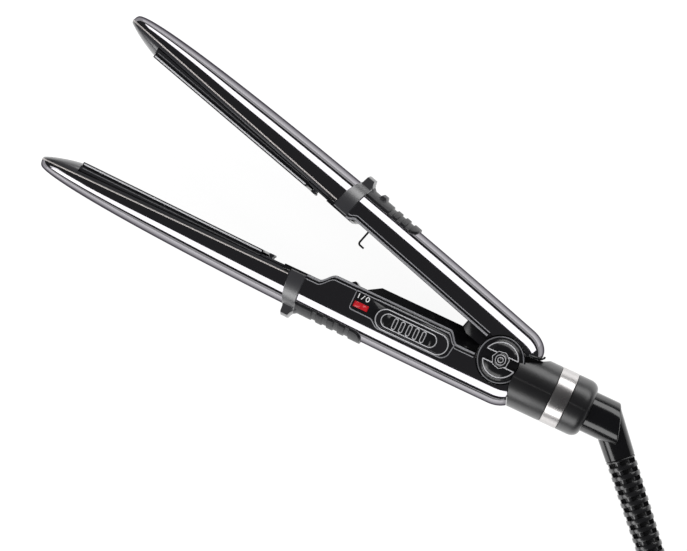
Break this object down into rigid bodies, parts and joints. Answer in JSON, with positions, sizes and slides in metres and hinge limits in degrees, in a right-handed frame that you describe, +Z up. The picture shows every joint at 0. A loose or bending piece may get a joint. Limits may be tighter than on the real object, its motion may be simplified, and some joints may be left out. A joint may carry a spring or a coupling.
{
  "type": "hair straightener",
  "caption": "Hair straightener open on its side: two slim polished arms on a sprung hinge, heating plates, thumb grips, red power switch, temperature slider, lock, swivel cord with plug.",
  "frame": {"origin": "where the hinge axis meets the table, at the centre of the lower hub cap's outer face", "axes": "+Z up along the hinge axis; the fixed arm points along -X with its inner face towards +Y; the cord leaves along +X; the moving arm opens towards +Y"},
  "size_m": [0.4169, 0.268, 0.0317],
  "materials": {
    "shell_plating": "dark metallic plating, polished like chrome",
    "black_satin": "satin black plastic",
    "black_heatproof": "matt heat-resistant black plastic",
    "plate_coating": "smooth grey ceramic coating on aluminium",
    "heater_ceramic": "white ceramic heater",
    "spring_steel": "bright steel",
    "lead_insulation": "woven and rubber wire insulation",
    "grip_grey": "dark grey satin plastic",
    "black_gloss": "black plastic with a soft gloss",
    "switch_red": "red plastic",
    "board_green": "green circuit board laminate",
    "collar_grey": "dark grey satin plastic",
    "ring_chrome": "polished chrome",
    "bush_brass": "turned brass",
    "cord_rubber": "soft black rubber"
  },
  "bodies": {
    "fixed_arm": {"fixed_shell": "shell_plating", "fixed_tip_cap": "black_satin", "fixed_plate_carrier": "black_heatproof", "fixed_plate_springs": "spring_steel", "fixed_heater_leads": "lead_insulation", "fixed_grip": "grip_grey", "fixed_handle_cover": "black_gloss", "fixed_cover_screws": "spring_steel", "control_panel": "black_gloss", "switch_housing": "black_satin", "slide_potentiometer": "spring_steel", "circuit_board": "board_green", "hinge_frame": "black_satin", "hinge_pin": "spring_steel", "near_hub_cap": "black_gloss", "far_hub_cap": "black_gloss", "torsion_spring": "spring_steel", "mains_leads": "lead_insulation", "collar_front_half": "collar_grey", "collar_back_half": "collar_grey", "chrome_ring": "ring_chrome"},
    "fixed_plate_float": {"fixed_plate": "plate_coating", "fixed_heater": "heater_ceramic", "fixed_thermal_fuse": "spring_steel"},
    "moving_arm": {"moving_shell": "shell_plating", "moving_tip_cap": "black_satin", "moving_plate_carrier": "black_heatproof", "moving_plate_springs": "spring_steel", "moving_heater_leads": "lead_insulation", "moving_grip": "grip_grey", "moving_handle_cover": "black_gloss", "moving_cover_screws": "spring_steel", "moving_tail_cap": "black_gloss", "hinge_fork": "black_gloss", "hinge_bushes": "bush_brass", "lock_hook": "spring_steel"},
    "moving_plate_float": {"moving_plate": "plate_coating", "moving_heater": "heater_ceramic", "moving_thermal_fuse": "spring_steel"},
    "power_rocker": {"power_switch": "switch_red"},
    "heat_slide": {"temperature_slider": "black_satin"},
    "lock_slide": {"lock_slider": "black_satin"},
    "cord_swivel": {"swivel_barrel": "black_satin", "swivel_elbow": "black_satin", "strain_relief": "cord_rubber", "cord": "cord_rubber", "cord_coil": "cord_rubber", "cord_tail": "cord_rubber", "cord_ties": "black_satin", "plug_body": "cord_rubber", "plug_pins": "spring_steel"}
  },
  "joints": [
    {"name": "arm_hinge", "type": "hinge", "parent": "fixed_arm", "child": "moving_arm", "pos_m": [0, 0, 0.0152], "axis": [0, 0, 1], "range_deg": [0, 15.6], "stiffness_Nm_per_rad": 0.5, "springref_deg": -22.92, "deforming": ["torsion_spring"]},
    {"name": "fixed_plate_press", "type": "slide", "parent": "fixed_arm", "child": "fixed_plate_float", "axis": [0, -1, 0], "range_m": [0, 0.0008], "stiffness_N_per_m": 1500, "springref_m": -0.001, "deforming": ["fixed_plate_springs"]},
    {"name": "moving_plate_press", "type": "slide", "parent": "moving_arm", "child": "moving_plate_float", "axis": [0.2807, 0.9598, 0], "range_m": [0, 0.0008], "stiffness_N_per_m": 1500, "springref_m": -0.001, "deforming": ["moving_plate_springs"]},
    {"name": "power_rock", "type": "hinge", "parent": "fixed_arm", "child": "power_rocker", "pos_m": [-0.0733, -0.0052, 0.0258], "axis": [0, 1, 0], "range_deg": [-14, 0]},
    {"name": "heat_setting", "type": "slide", "parent": "fixed_arm", "child": "heat_slide", "axis": [1, 0, 0], "range_m": [-0.002, 0.005]},
    {"name": "lock_push", "type": "slide", "parent": "fixed_arm", "child": "lock_slide", "axis": [-1, 0, 0], "range_m": [0, 0.0025]},
    {"name": "cord_turn", "type": "hinge", "parent": "fixed_arm", "child": "cord_swivel", "pos_m": [0.0505, -0.0046, 0.0152], "axis": [1, 0, 0], "continuous": true}
  ]
}
